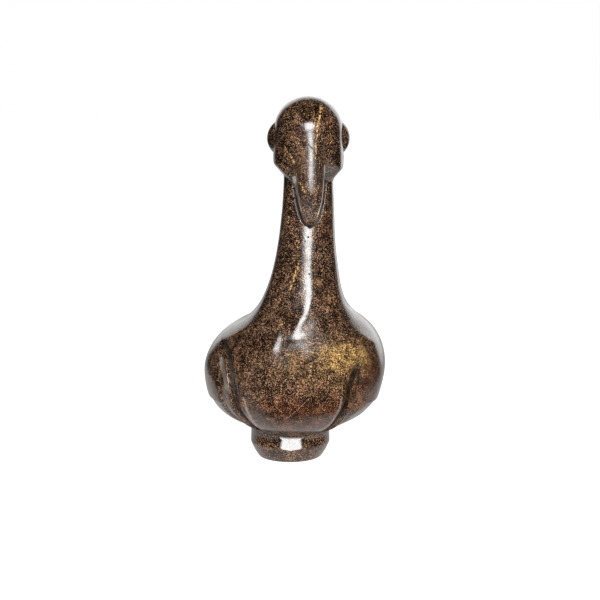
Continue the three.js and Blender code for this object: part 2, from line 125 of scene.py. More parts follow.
# Soft ridges that the hand tools left on the front: place across and share of the rise, by height
RIDGES = [
    {"line": [(108, -30), (117, -23.5), (127, -19.5), (146, -14.6), (160, -13.6), (178, -12.7)],
     "rise": [(112, 0.0), (120, 0.25), (132, 1.0), (150, 0.8), (178, 0.0)], "width": 7.0},
    {"line": [(140, 2.0), (150, 7.0), (157, 11.0), (164, 15.5), (172, 18.5), (185, 20.5), (245, 20.5)],
     "rise": [(138, 0.0), (152, 0.75), (170, 0.6), (185, 0.35), (215, 0.15), (245, 0.0)], "width": 9.0},
    {"line": [(124, -69), (137, -54), (145, -42), (152, -34), (169, -26), (190, -19)],
     "rise": [(122, 0.0), (132, 0.5), (150, 0.7), (165, 0.5), (190, 0.0)], "width": 5.0},
    {"line": [(124, 89), (130, 81), (138, 71), (146, 61), (158, 51.5), (172, 48), (190, 46)],
     "rise": [(122, 0.0), (132, 0.5), (150, 0.7), (165, 0.5), (190, 0.0)], "width": 5.0},
]

# The tail
TAIL_HALF = (36.0, 46.0, 16.0)
TAIL_BACK = 82.0
TAIL_DROP = 21.0
TAIL_TILT = -16.0
TAIL_SQUARENESS = 2.4
TAIL_BLEND = 22.0

# The wings: each groove's line and lower edge by height and angle, and the width of the panel behind it
BREAST_ROUNDING = 13.0
PANEL_EDGE = 7.0
PANEL_BULGE = 0.7
WING_EDGE_START = 2.0
WING_EDGE_FULL = 14.0
WING_TIP_ANGLE = 165.0
WING_TIP_FADE = 20.0
CARVING_CORE = 25.0
WING_LINES = [
    {"side": -1, "fade": (120, 130), "panel": 14.0,
     "line": [(25, 38), (45, 38.5), (65, 38), (80, 39), (96, 41.5), (108, 45), (117, 50), (124, 57),
              (130, 66)]},
    {"side": 1, "fade": (98, 116), "panel": 6.0,
     "line": [(25, 34.5), (45, 33.5), (65, 32.5), (83, 33.5), (95, 35.5), (108, 39.5), (118, 45), (128, 52)]},
]
WING_EDGE = [(36, 38), (42, 55), (48, 66), (60, 66), (90, 62), (130, 66), (165, 86)]

# The head
HEAD_CENTRE = (18.8, -24.0, 344.0)
HEAD_HALF_WIDTH = 34.4
HEAD_HALF_LENGTH = 44.0
HEAD_BACK_LENGTH = 40.0
HEAD_CROWN = 32.0
HEAD_CHEEK_DEPTH = 92.0
HEAD_NAPE_DEPTH = 62.0
HEAD_SQUARENESS = 2.6
CROWN_SQUARENESS = 1.97
CHEEK_SQUARENESS = 3.0
CHEEK_FLARE = 0.05
FOREHEAD_KEEL = 0.6
FOREHEAD_KEEL_WIDTH = 10.0
FOREHEAD_KEEL_FADE = (6.0, 24.0)
JAWS = [((-33.6, 0, -38), (-0.72, -0.1, -0.69)), ((36.2, 0, -39), (0.745, -0.1, -0.66))]
CHEEKS = [(-1, (-8, -42, -44), (-0.15, -0.62, -0.77)), (1, (20, -41, -31), (0.34, -0.62, -0.7))]
CHEEK_REACH = 6.0
CHEEK_SEAM = 0.9
EYE_OUT = 21.4
EYE_BACK = 3.0
EYE_DROP = 10.0
EYE_SEAT = 4.0
EYE_SEAM = 0.6

# The beak
BEAK_HALF_WIDTH = 12.9
BEAK_X = 1.8
BEAK_TIP_DROP = 96.0
BEAK_FULL_DROP = 45.0
BEAK_TOP_DROP = -8.0
BEAK_TAPER = 2.3
BEAK_CROWN = 4.4
BEAK_ROOT = 30.0
BEAK_FLARES = (0.2, 0.07)
BEAK_TIP_FLARE = 0.06
BEAK_RIDGE = [(96, 36), (92, 41.5), (86, 46), (76, 50), (60, 52.8), (45, 51.5), (27, 47.6), (14, 45.6),
              (4, 44), (-8, 40)]

# Marks on the front: where each begins and ends, across and up, and its half width
GOLD_STREAKS = [
    ((31.8, 368.1), (27.4, 347.5), 1.3),
    ((27.4, 347.5), (24.9, 317.9), 1.0),
    ((-4.4, 327.0), (4.4, 313.5), 1.2),
    ((10.3, 293.6), (16.2, 282.9), 1.1),
    ((23.2, 249.4), (36.2, 262.5), 1.2),
    ((0.3, 184.4), (8.3, 210.6), 1.3),
    ((-53.2, 77.9), (-51.0, 66.0), 1.0),
]
PALE_SCRATCHES = [((-6.2, 55.9), (19.2, 81.3), 0.45), ((-15.6, 74.5), (-8.0, 67.0), 0.6)]
# Painted highlight: pale lines that stand in for the reflections on the beak's left side and along its right
# edge
BEAK_PAINTED_SHEEN = [
    ((4.6, 297.5), (6.4, 287.7), 2.6),
    ((6.4, 287.7), (8.8, 276.8), 1.9),
    ((8.8, 276.8), (11.3, 265.9), 1.0),
    ((34.6, 309.3), (34.2, 295.5), 0.8),
    ((34.2, 295.5), (31.8, 274.8), 0.8),
    ((31.8, 274.8), (28.0, 261.9), 0.7),
]
# Painted reflection: pale sheen along the breast's lower rims beside the grooves, and higher up beside the
# left groove
PAINTED_RIM_SHEEN = [
    ((-45.8, 78.0), (-43.0, 67.0), 1.4),
    ((-43.0, 67.0), (-39.6, 56.7), 1.9),
    ((-39.6, 56.7), (-33.6, 46.3), 1.6),
    ((51.9, 80.0), (50.1, 70.1), 1.2),
    ((50.1, 70.1), (47.1, 59.8), 1.6),
    ((47.1, 59.8), (41.6, 48.4), 1.4),
    ((-69.5, 111.0), (-66.5, 97.3), 3.4),
    ((-66.5, 97.3), (-63.0, 84.0), 2.4),
]
DARK_MARKS = [
    ((18.1, 331.2), (22.6, 326.4), 0.5),
    ((18.3, 237.8), (18.6, 237.2), 0.9),
    ((15.3, 233.8), (15.5, 233.4), 0.7),
    ((19.3, 201.3), (19.5, 200.9), 0.8),
]

# Patches of the stone's finish, in metres: middle, reach, share that is border, and size of its ragged edge
GOLD_PATCH = ((0.053, -0.06, 0.119), (0.024, 0.05, 0.0125), 0.6, 0.006)
GOLD_BESIDE = ((0.036, -0.07, 0.117), (0.042, 0.06, 0.022), 0.8, 0.005)
RUST_WING = ((0.088, -0.03, 0.088), (0.031, 0.07, 0.042), 0.6, 0.012)
RUST_BELOW = ((0.012, -0.08, 0.06), (0.055, 0.05, 0.022), 0.6, 0.012)
DULL_BREAST = ((0.018, -0.08, 0.093), (0.066, 0.06, 0.039), 0.35, 0.03)
DULL_FACE = ((0.0195, -0.085, 0.3), (0.026, 0.04, 0.043), 0.3, 0.03)

# The camera, with its field of view as focal length over sensor width
CAMERA_PLACE = (0.0103, -1.677, 0.446)
CAMERA_DIP = 9.512
SENSOR = 36.0
FOCAL_OVER_SENSOR = 1642.0 / 600.0

# The floor widens towards the back as the camera's view does
FLOOR_SPREAD = 0.22

# The softbox, then the white sheet's soft border and where its light falls off, overhead and on the left
SOFTBOX_PLACE = (0.14, -2.1, 1.02)
SOFTBOX_AIM = (0.01, -0.03, 0.2)
SOFTBOX_SIZE = (0.9, 1.6)
SHEET_BORDER = 0.03
SHEET_TOP_RISE = (0.42, 0.65)
SHEET_LEFT_RISE = (-0.4, 0.2)


def soften(low, high, value):
    t = np.clip((value - low) / (high - low), 0.0, 1.0)
    return t * t * (3.0 - 2.0 * t)


def blend_union(a, b, width):
    h = np.clip(0.5 + 0.5 * (b - a) / width, 0.0, 1.0)
    return b * (1.0 - h) + a * h - width * h * (1.0 - h)


def blend_cut(a, b, width):
    return -blend_union(-a, -b, width)


def curve_through(stations):
    """A smooth curve through (position, value) stations that never overshoots them."""
    xs = np.array([s[0] for s in stations], float)
    ys = np.array([s[1] for s in stations], float)
    gaps = np.diff(xs)
    slopes = np.diff(ys) / gaps
    tangents = np.concatenate([slopes[:1], np.zeros(len(xs) - 2), slopes[-1:]])
    for i in range(1, len(xs) - 1):
        if slopes[i - 1] * slopes[i] > 0:
            w1, w2 = 2 * gaps[i] + gaps[i - 1], gaps[i] + 2 * gaps[i - 1]
            tangents[i] = (w1 + w2) / (w1 / slopes[i - 1] + w2 / slopes[i])

    def value(x):
        x = np.clip(x, xs[0], xs[-1])
        i = np.clip(np.searchsorted(xs, x) - 1, 0, len(gaps) - 1)
        t = (x - xs[i]) / gaps[i]
        bend = t * t * (3 - 2 * t)
        leave = t * (1 - t) ** 2 * gaps[i] * tangents[i]
        arrive = t * t * (t - 1) * gaps[i] * tangents[i + 1]
        return ys[i] * (1 - bend) + ys[i + 1] * bend + leave + arrive

    return value


def outside_rounded(x, y, z, half, squareness):
    """About how far a point lies outside a rounded form with the given half sizes."""
    u = [np.abs(v / h) + 1e-9 for v, h in zip((x, y, z), half)]
    reach = (u[0] ** squareness + u[1] ** squareness + u[2] ** squareness) ** (1 / squareness)
    slope = sum(((v / reach) ** (squareness - 1) / h) ** 2 for v, h in zip(u, half))
    return (reach - 1) / np.sqrt(slope)


def outside_plane(x, y, z, at, normal):
    n = np.array(normal, float)
    n /= np.linalg.norm(n)
    return (x - at[0]) * n[0] + (y - at[1]) * n[1] + (z - at[2]) * n[2]


WAVES = 9


class Carving:
    """The bird as one smooth form, less the depths that the chisel took away."""

    def __init__(self, sizes):
        for name in ("seam", "groove_depth", "groove_wall", "panel_depth", "wing_edge_depth",
                     "wing_edge_width", "eye_radius", "eye_line_depth", "eye_line_width",
                     "beak_line_depth", "beak_line_width", "ridge_height", "wave_depth"):
            setattr(self, name, getattr(sizes, name) / MM)
        rise = HEAD_CENTRE[2] - BODY_Z
        self.neck = [curve_through([(BODY_Z + s[0] * rise, s[i]) for s in NECK]) for i in (1, 2, 3, 4)]
        self.neck_top = BODY_Z + NECK_TOP * rise
        self.wing_lines = [curve_through(w["line"]) for w in WING_LINES]
        self.wing_edge = curve_through(WING_EDGE)
        self.ridges = [(curve_through(r["line"]), curve_through(r["rise"]), r["width"]) for r in RIDGES]
        self.beak_ridge = curve_through([(-drop, forward) for drop, forward in BEAK_RIDGE])
        self.foot_flare = curve_through([
            (FOOT_LEDGE_HEIGHT * high, FOOT_BOTTOM_RADIUS + out * (FOOT_LEDGE_RADIUS - FOOT_BOTTOM_RADIUS))
            for high, out in FOOT_FLARE
        ])
        rng = np.random.default_rng(sizes.seed)
        turns = rng.normal(size=(WAVES, 3))
        turns /= np.linalg.norm(turns, axis=1)[:, None]
        lengths = rng.uniform(sizes.wave_shortest / MM, sizes.wave_longest / MM, WAVES)
        self.waves = turns * (2 * np.pi / lengths)[:, None]
        self.wave_starts = rng.uniform(0, 2 * np.pi, WAVES)

    def body(self, x, y, z):
        c, s = math.cos(math.radians(BODY_ROLL)), math.sin(math.radians(BODY_ROLL))
        across = c * (x - BODY_X) + s * (z - BODY_Z)
        high = -s * (x - BODY_X) + c * (z - BODY_Z)
        deeper = 1 + BODY_LEAN * np.clip(across / BODY_HALF[0], -1, 1)
        half = (BODY_HALF[0], BODY_HALF[1], BODY_HALF[2] * deeper)
        upper = soften(-WAIST_BLEND, WAIST_BLEND, high)
        squareness = BELLY_SQUARENESS + (BODY_SQUARENESS - BELLY_SQUARENESS) * upper
        egg = outside_rounded(across, y - BODY_Y, high, half, squareness)
        flank = FLANK_NORMAL[0] * (x - BODY_X - FLANK_OUT) + FLANK_NORMAL[1] * (z - BODY_Z + FLANK_DROP)
        return blend_cut(egg, flank, FLANK_BLEND)

    def breast(self, x, y, z):
        ahead, down = y - BODY_Y + BREAST_FORWARD, z - BODY_Z + BREAST_DROP
        return outside_rounded(x - BODY_X, ahead, down, BREAST_HALF, 2)

    def neck_form(self, x, y, z):
        half, middle, front, back = (form(z) for form in self.neck)
        deep = (back - front) / 2
        u, v = np.abs(x - middle) / half + 1e-9, np.abs(y - (front + back) / 2) / deep + 1e-9
        reach = (u ** NECK_SQUARENESS + v ** NECK_SQUARENESS) ** (1 / NECK_SQUARENESS)
        slope = [(w / reach) ** (NECK_SQUARENESS - 1) / size for w, size in ((u, half), (v, deep))]
        outside = (reach - 1) / np.hypot(*slope)
        outside = blend_cut(outside, BODY_Z - NECK_ROOT - z, NECK_ROOT_BLEND)
        return blend_cut(outside, z - self.neck_top, self.seam)

    def tail(self, x, y, z):
        c, s = math.cos(math.radians(TAIL_TILT)), math.sin(math.radians(TAIL_TILT))
        back, high = y - BODY_Y - TAIL_BACK, z - BODY_Z + TAIL_DROP
        along, across = c * back + s * high, -s * back + c * high
        return outside_rounded(x - BODY_X, along, across, TAIL_HALF, TAIL_SQUARENESS)

    def groove_cut(self, out, wide):
        rolled = self.groove_depth * np.clip(1 + out / BREAST_ROUNDING, 0, 1) ** 2
        wall = self.groove_depth * (1 - soften(0, self.groove_wall, out))
        panel = self.panel_depth * soften(self.groove_wall, wide, out)
        panel = panel * (1 - soften(wide, wide + PANEL_EDGE, out))
        return np.where(out < 0, rolled, np.where(out < self.groove_wall, wall, panel))

    def wing_cut(self, x, y, z):
        ahead, aside = BODY_Y - y, x - BODY_X
        radius = np.hypot(aside, ahead)
        angle = np.degrees(np.arctan2(aside, ahead))
        near_axis = soften(0, CARVING_CORE, radius)
        cut = 0.0
        for wing, line in zip(WING_LINES, self.wing_lines):
            turned = wing["side"] * angle
            out = np.radians(turned - line(z)) * radius
            bottom, top = wing["line"][0][0], wing["fade"][1]
            share = np.clip((z - bottom) / (top - bottom), 0, 1)
            wide = self.groove_wall + wing["panel"] * np.sin(np.pi * share) ** PANEL_BULGE + 1e-3
            fade = near_axis * (1 - soften(*wing["fade"], z))
            cut = cut + fade * self.groove_cut(out, wide)
            below = 1 - soften(0, self.wing_edge_width, z - self.wing_edge(turned))
            along = soften(WING_EDGE_START, WING_EDGE_FULL, out)
            tip = 1 - soften(WING_TIP_ANGLE - WING_TIP_FADE, WING_TIP_ANGLE, turned)
            cut = cut + near_axis * self.wing_edge_depth * below * along * tip
        return cut

    def trunk(self, x, y, z):
        d = blend_union(self.body(x, y, z), self.breast(x, y, z), BREAST_BLEND)
        d = blend_union(d, self.neck_form(x, y, z), NECK_BLEND)
        d = blend_union(d, self.tail(x, y, z), TAIL_BLEND)
        for line, rise, width in self.ridges:
            across = (x - line(z)) / width
            d = d - self.ridge_height * rise(z) * np.exp(-across ** 2) * (y < BODY_Y)
        return d + self.wing_cut(x, y, z)

    def foot(self, x, y, z):
        up = np.minimum((z - FOOT_LEDGE_HEIGHT) / (FOOT_TOP_HEIGHT - FOOT_LEDGE_HEIGHT), 1)
        lower = np.hypot(x, y) - self.foot_flare(z) - np.maximum(z - FOOT_LEDGE_HEIGHT, 0)
        radius = FOOT_LEDGE_RADIUS - (FOOT_LEDGE_RADIUS - FOOT_TOP_RADIUS) * up
        band = np.hypot(x, y - FOOT_TOP_BACK * up) - radius
        d = blend_cut(lower, band, FOOT_SEAM)
        d = blend_cut(d, outside_plane(x, y, z, *FOOT_FLAT), FOOT_SEAM)
        d = blend_cut(d, -z, self.seam)
        return blend_cut(d, z - FOOT_TOP_HEIGHT - FOOT_ROOT, self.seam)

    def skull(self, x, y, z):
        deep = np.where(y > 0, HEAD_BACK_LENGTH, HEAD_HALF_LENGTH)
        lower = np.where(y > 0, HEAD_NAPE_DEPTH, HEAD_CHEEK_DEPTH)
        high = np.where(z > 0, HEAD_CROWN, lower)
        power = np.where(z > 0, CROWN_SQUARENESS, CHEEK_SQUARENESS)
        half = HEAD_HALF_WIDTH * (1 + CHEEK_FLARE * soften(0, 1, -z / HEAD_CROWN))
        u, v, w = np.abs(x) / half, np.abs(y) / deep, np.abs(z) / high
        flat = HEAD_SQUARENESS
        ring = (u ** flat + v ** flat) ** (1 / flat) + 1e-9
        reach = (ring ** power + w ** power) ** (1 / power) + 1e-9
        k = reach ** (1 - power)
        gx = k * ring ** (power - flat) * u ** (flat - 1) / half
        gy = k * ring ** (power - flat) * v ** (flat - 1) / deep
        gz = k * w ** (power - 1) / high
        keel = FOREHEAD_KEEL * np.exp(-(x / FOREHEAD_KEEL_WIDTH) ** 2) * (y < 0)
        keel = keel * (1 - soften(*FOREHEAD_KEEL_FADE, z))
        return (reach - 1) / np.sqrt(gx * gx + gy * gy + gz * gz + 1e-12) - keel

    def head(self, x, y, z):
        x, y, z = x - HEAD_CENTRE[0], y - HEAD_CENTRE[1], z - HEAD_CENTRE[2]
        d = self.skull(x, y, z)
        for side, at, normal in CHEEKS:
            plane = np.where(side * x > -CHEEK_REACH, outside_plane(x, y, z, at, normal), -HEAD_HALF_WIDTH)
            d = blend_cut(d, plane, CHEEK_SEAM)
        for at, normal in JAWS:
            d = blend_cut(d, outside_plane(x, y, z, at, normal), self.seam)
        for side in (-1, 1):
            aside = side * x - EYE_OUT
            lens = np.sqrt(aside ** 2 + (y - EYE_BACK) ** 2 + (z + EYE_DROP) ** 2) - self.eye_radius
            lens = blend_cut(lens, HEAD_HALF_WIDTH - EYE_SEAT - side * x, self.seam)
            d = d + self.eye_line_depth * (1 - soften(0, self.eye_line_width, lens))
            d = blend_union(d, lens, EYE_SEAM)
        return d

    def beak(self, x, y, z):
        x, drop = x - HEAD_CENTRE[0] - BEAK_X, HEAD_CENTRE[2] - z
        taper = np.clip((drop - BEAK_FULL_DROP) / (BEAK_TIP_DROP - BEAK_FULL_DROP), 0, 1)
        half = BEAK_HALF_WIDTH * np.sqrt(np.maximum(1 - taper ** BEAK_TAPER, 0)) + 1e-3
        front = HEAD_CENTRE[1] - self.beak_ridge(-drop) + BEAK_CROWN * (x / BEAK_HALF_WIDTH) ** 2
        flare = np.where(x < 0, *BEAK_FLARES)
        flare = flare + (BEAK_TIP_FLARE - flare) * taper
        side = np.abs(x) - half - flare * np.maximum(y - front - BEAK_CROWN, -BEAK_CROWN)
        d = blend_cut(side, front - y, self.seam)
        d = blend_cut(d, BEAK_TOP_DROP - drop, 2 * self.seam)
        d = blend_cut(d, drop - BEAK_TIP_DROP, 2 * self.seam)
        return blend_cut(d, y + BEAK_ROOT, self.seam)

    def outside(self, x, y, z):
        """About how far each point is outside the stone."""
        beak = self.beak(x, y, z)
        d = blend_union(self.trunk(x, y, z), self.foot(x, y, z), self.seam)
        d = d + self.beak_line_depth * (1 - soften(0, self.beak_line_width, beak))
        d = blend_union(d, blend_union(self.head(x, y, z), beak, self.seam), self.seam)
        wave = sum(np.sin(k[0] * x + k[1] * y + k[2] * z + start)
                   for k, start in zip(self.waves, self.wave_starts))
        return d + self.wave_depth * (0.5 + 0.5 * wave / WAVES) * soften(0, FOOT_LEDGE_HEIGHT, z)


# Numbers of the meshing: cells in a coarse block, millimetres that count as near, points worked at once
BLOCK = 4
NEAR = 16.0
CHUNK = 300000
MARGIN = 2.5
PASSES = 4
LONGEST_MOVE = 0.6
SLOPE_STEP = 0.12
LEAST_SLOPE = 0.05


def lattice_values(outside, low, high, cell):
    """Values on a lattice: the exact ones near the surface, and the nearest coarse sample elsewhere."""
    counts = (np.ceil((high - low) / cell / BLOCK).astype(int)) * BLOCK + 1
    lines = [low[i] + cell * np.arange(counts[i]) for i in range(3)]
    coarse = np.meshgrid(*[line[::BLOCK] for line in lines], indexing="ij")
    rough = outside(*[c.ravel() for c in coarse]).reshape(coarse[0].shape)
    nearest = [(np.arange(n) + BLOCK // 2) // BLOCK for n in counts]
    values = rough[np.ix_(*nearest)]
    wanted = np.argwhere(np.abs(values) < NEAR)
    for start in range(0, len(wanted), CHUNK):
        part = wanted[start:start + CHUNK]
        at = [lines[i][part[:, i]] for i in range(3)]
        values[part[:, 0], part[:, 1], part[:, 2]] = outside(*at)
    return values


def surface_net(values, low, cell):
    """One point for each cell that the surface crosses, and a quad for each crossed lattice edge."""
    counts = np.array(values.shape)
    total = np.zeros(tuple(counts - 1) + (3,), np.float32)
    crossings = np.zeros(tuple(counts - 1), np.float32)
    for corner in np.ndindex(2, 2, 2):
        for axis in range(3):
            if corner[axis]:
                continue
            other = list(corner)
            other[axis] = 1
            a = values[tuple(slice(corner[i], counts[i] - 1 + corner[i]) for i in range(3))]
            b = values[tuple(slice(other[i], counts[i] - 1 + other[i]) for i in range(3))]
            crossed = (a < 0) != (b < 0)
            share = np.where(crossed, a / np.where(crossed, a - b, 1), 0)
            for i in range(3):
                total[..., i] += np.where(crossed, corner[i] + (share if i == axis else 0), 0)
            crossings += crossed
    active = crossings > 0
    index = np.full(active.shape, -1, np.int64)
    cells = np.argwhere(active)
    index[active] = np.arange(len(cells))
    points = low + cell * (cells + total[active] / crossings[active][:, None])
    inside = values < 0
    quads = []
    for axis in range(3):
        u, v = (axis + 1) % 3, (axis + 2) % 3
        first, second = [slice(None)] * 3, [slice(None)] * 3
        first[axis], second[axis] = slice(0, -1), slice(1, None)
        for k in (u, v):
            first[k] = second[k] = slice(1, -1)
        a, b = inside[tuple(first)], inside[tuple(second)]
        for turned, mask in ((False, a & ~b), (True, ~a & b)):
            base = np.argwhere(mask)
            base[:, u] += 1
            base[:, v] += 1
            corners = []
            for du, dv in ((1, 1), (0, 1), (0, 0), (1, 0)):
                at = base.copy()
                at[:, u] -= du
                at[:, v] -= dv
                corners.append(index[at[:, 0], at[:, 1], at[:, 2]])
            quad = np.stack(corners, 1)
            quads.append(quad[:, ::-1] if turned else quad)
    return points, np.concatenate(quads)


def slopes_at(outside, points):
    slopes = np.empty_like(points)
    for i in range(3):
        shift = np.zeros(3)
        shift[i] = SLOPE_STEP
        slopes[:, i] = (outside(*(points + shift).T) - outside(*(points - shift).T)) / (2 * SLOPE_STEP)
    return slopes


def drawn_on(outside, points, cell):
    """The points moved along the slope until they lie on the surface."""
    for _ in range(PASSES):
        slope = slopes_at(outside, points)
        move = -(outside(*points.T) / np.maximum((slope * slope).sum(1), LEAST_SLOPE))[:, None] * slope
        size = np.linalg.norm(move, axis=1, keepdims=True)
        points = points + move * np.minimum(1, LONGEST_MOVE * cell / np.maximum(size, 1e-9))
    return points


def stone_mesh(sizes):
    """The carved mesh in metres, with its normals and a measure of how deep in a hollow each point lies."""
    carving = Carving(sizes)
    cell = sizes.cell / MM * 1.0
    low = np.array(CAD_BOX[0]) / MM - MARGIN * cell
    high = np.array(CAD_BOX[1]) / MM + MARGIN * cell
    values = lattice_values(carving.outside, low, high, cell)
    points, quads = surface_net(values, low, cell)
    points = drawn_on(carving.outside, points, cell)
    slope = slopes_at(carving.outside, points)
    normals = slope / np.linalg.norm(slope, axis=1, keepdims=True)
    reach = sizes.hollow_reach / MM
    hollow = np.clip(1 - carving.outside(*(points + reach * normals).T) / reach, 0, 1)
    mesh = bpy.data.meshes.new(NODE)
    mesh.from_pydata((points * MM).tolist(), [], quads.tolist())
    mesh.update()
    attribute = mesh.attributes.new("hollow", "FLOAT", "POINT")
    attribute.data.foreach_set("value", hollow.astype(np.float32))
    mesh.shade_smooth()
    mesh.normals_split_custom_set_from_vertices(normals.tolist())
    return mesh


class Nodes:
    """Short calls for building a node tree."""

    def __init__(self, tree):
        self.tree = tree

    def add(self, kind, inputs=None, **values):
        node = self.tree.nodes.new(kind)
        for key, value in values.items():
            setattr(node, key, value)
        for key, value in (inputs or {}).items():
            socket = node.inputs[key]
            if isinstance(value, bpy.types.NodeSocket):
                self.tree.links.new(value, socket)
            else:
                socket.default_value = value
        return node

    def math(self, operation, a, b=0.5, clamp=False):
        return self.add("ShaderNodeMath", {0: a, 1: b}, operation=operation, use_clamp=clamp).outputs[0]

    def times(self, a, b):
        return self.math("MULTIPLY", a, b)

    def plus(self, a, b):
        return self.math("ADD", a, b)

    def minus(self, a, b):
        return self.math("SUBTRACT", a, b)

    def larger(self, a, b):
        return self.math("MAXIMUM", a, b)

    def ranged(self, value, low, high, to_low=0.0, to_high=1.0, smooth=True):
        kind = "SMOOTHSTEP" if smooth else "LINEAR"
        inputs = {"Value": value, "From Min": low, "From Max": high, "To Min": to_low, "To Max": to_high}
        return self.add("ShaderNodeMapRange", inputs, interpolation_type=kind).outputs["Result"]

    def mixed(self, factor, a, b):
        """Colour a turning to b. The sockets are the mix node's factor and its two colours."""
        return self.add("ShaderNodeMix", {0: factor, 6: a, 7: b}, data_type="RGBA").outputs[2]

    def vector(self, operation, a, b=(0, 0, 0), output="Vector"):
        return self.add("ShaderNodeVectorMath", {0: a, 1: b}, operation=operation).outputs[output]

    def scaled(self, vector, scale):
        return self.add("ShaderNodeVectorMath", {0: vector, "Scale": scale}, operation="SCALE").outputs[0]

    def noise(self, vector, scale, detail=2.0, roughness=0.5, distortion=0.0):
        inputs = {"Vector": vector, "Scale": scale, "Detail": detail, "Roughness": roughness,
                  "Distortion": distortion}
        return self.add("ShaderNodeTexNoise", inputs).outputs["Fac"]

    def mapped(self, vector, turn, scale):
        inputs = {"Vector": vector, "Rotation": [math.radians(a) for a in turn], "Scale": scale}
        return self.add("ShaderNodeMapping", inputs).outputs["Vector"]


# The flecks' level is a sum of grain, threads, clouds and the light share, and these bounds part its tones
FLECK_THREADS = 0.22
FLECK_CLOUDS = 0.34
FLECK_SHARE = 0.3
FLECK_MIDDLE = (0.9, 0.96)
FLECK_LIGHT = (1.04, 1.08)
FLECK_BEND = 0.006
HALF = (0.5, 0.5, 0.5)
FLOAT, VECTOR, TINT = "NodeSocketFloat", "NodeSocketVector", "NodeSocketColor"


def node_group(name, inputs, output, kind):
    """An empty shader group with a vector input and others, each given as its kind or its default.

    Returns the group, its helper and its input node's sockets.
    """
    group = bpy.data.node_groups.new(name, "ShaderNodeTree")
    for label, told in {"Vector": VECTOR, **inputs}.items():
        kind_in = told if isinstance(told, str) else FLOAT if isinstance(told, float) else VECTOR
        socket = group.interface.new_socket(label, in_out="INPUT", socket_type=kind_in)
        if kind_in is not told:
            socket.default_value = told
    group.interface.new_socket(output, in_out="OUTPUT", socket_type=kind)
    nodes = Nodes(group)
    return group, nodes, nodes.add("NodeGroupInput").outputs


def fleck_group():
    """Fine crossing flecks of three tones, as in a close crystalline stone."""
    group, n, given = node_group("Stone flecks", {
        "Fleck size": 0.0016, "Light share": 0.5, "Dark": TINT, "Middle": TINT, "Light": TINT
    }, "Color", TINT)
    scale = n.math("DIVIDE", 1.0, given["Fleck size"])
    bent = n.add("ShaderNodeTexNoise", {"Vector": given["Vector"], "Scale": n.times(scale, 0.3),
                                        "Detail": 2.0}).outputs["Color"]
    offset = n.scaled(n.vector("SUBTRACT", bent, HALF), FLECK_BEND)
    where = n.vector("ADD", given["Vector"], offset)
    threads = []
    for turn, stretch in (((20, 35, 10), 0.45), ((-40, 15, 70), 0.5)):
        along = n.mapped(where, turn, (1.0, stretch, 1.0))
        near = n.math("ABSOLUTE", n.minus(n.noise(along, scale, 1.0, 0.5), 0.5))
        threads.append(n.ranged(near, 0.0, 0.09, 1.0, 0.0))
    thread = n.larger(threads[0], threads[1])
    grain = n.noise(given["Vector"], n.times(scale, 1.5), 2.0, 0.7)
    cloud = n.noise(given["Vector"], n.times(scale, 0.14), 4.0, 0.65)
    level = n.plus(n.times(thread, FLECK_THREADS), grain)
    level = n.plus(level, n.times(cloud, FLECK_CLOUDS))
    level = n.plus(level, n.times(given["Light share"], FLECK_SHARE))
    color = n.mixed(n.ranged(level, *FLECK_MIDDLE), given["Dark"], given["Middle"])
    color = n.mixed(n.ranged(level, *FLECK_LIGHT), color, given["Light"])
    n.add("NodeGroupOutput", {"Color": color})
    return group


def patch_group():
    """A soft-edged patch of stone around a place, broken up at its border."""
    group, n, given = node_group("Stone patch", {
        "Centre": VECTOR, "Reach": (0.02, 0.02, 0.02), "Border": 0.5, "Break size": 0.012
    }, "Mask", FLOAT)
    away = n.vector("DIVIDE", n.vector("SUBTRACT", given["Vector"], given["Centre"]), given["Reach"])
    far = n.vector("LENGTH", away, output="Value")
    ragged = n.noise(given["Vector"], n.math("DIVIDE", 1.0, given["Break size"]), 4.0, 0.6)
    far = n.plus(far, n.times(n.minus(ragged, 0.5), 1.6))
    inner, outer = n.minus(1.0, given["Border"]), n.plus(1.0, given["Border"])
    n.add("NodeGroupOutput", {"Mask": n.ranged(far, inner, outer, 1.0, 0.0)})
    return group


def streak_group():
    """One ragged streak on the front, between two places given across and up."""
    group, n, given = node_group("Stone streak", {
        "From": VECTOR, "To": VECTOR, "Half width": 0.001, "Raggedness": 0.002
    }, "Mask", FLOAT)
    noise = n.add("ShaderNodeTexNoise", {"Vector": given["Vector"], "Scale": 260.0, "Detail": 3.0})
    ragged = n.scaled(n.vector("SUBTRACT", noise.outputs["Color"], HALF), given["Raggedness"])
    place = n.vector("MULTIPLY", n.vector("ADD", given["Vector"], ragged), (1, 0, 1))
    run = n.vector("SUBTRACT", given["To"], given["From"])
    away = n.vector("SUBTRACT", place, given["From"])
    passed = n.vector("DOT_PRODUCT", away, run, "Value")
    share = n.math("DIVIDE", passed, n.vector("DOT_PRODUCT", run, run, "Value"), True)
    far = n.vector("LENGTH", n.vector("SUBTRACT", away, n.scaled(run, share)), output="Value")
    mask = n.ranged(far, n.times(given["Half width"], 0.4), given["Half width"], 1.0, 0.0)
    depth = n.add("ShaderNodeSeparateXYZ", {0: given["Vector"]}).outputs["Y"]
    n.add("NodeGroupOutput", {"Mask": n.times(mask, n.math("LESS_THAN", depth, 0.0))})
    return group


def vein_group():
    """Thin wandering streaks, here and there."""
    group, n, given = node_group("Stone veins", {
        "Spacing": 0.03, "Thickness": 0.03, "Amount": 0.5
    }, "Mask", FLOAT)
    along = n.mapped(given["Vector"], (10, 14, 0), (1.0, 0.8, 0.28))
    line = n.noise(along, n.math("DIVIDE", 1.0, given["Spacing"]), 3.0, 0.55, 0.4)
    line = n.math("ABSOLUTE", n.minus(line, 0.5))
    line = n.ranged(line, 0.0, given["Thickness"], 1.0, 0.0)
    where = n.noise(given["Vector"], n.math("DIVIDE", 0.8, given["Spacing"]), 2.0)
    where = n.ranged(where, n.minus(0.85, n.times(given["Amount"], 0.5)), 0.85)
    n.add("NodeGroupOutput", {"Mask": n.times(line, where)})
    return group


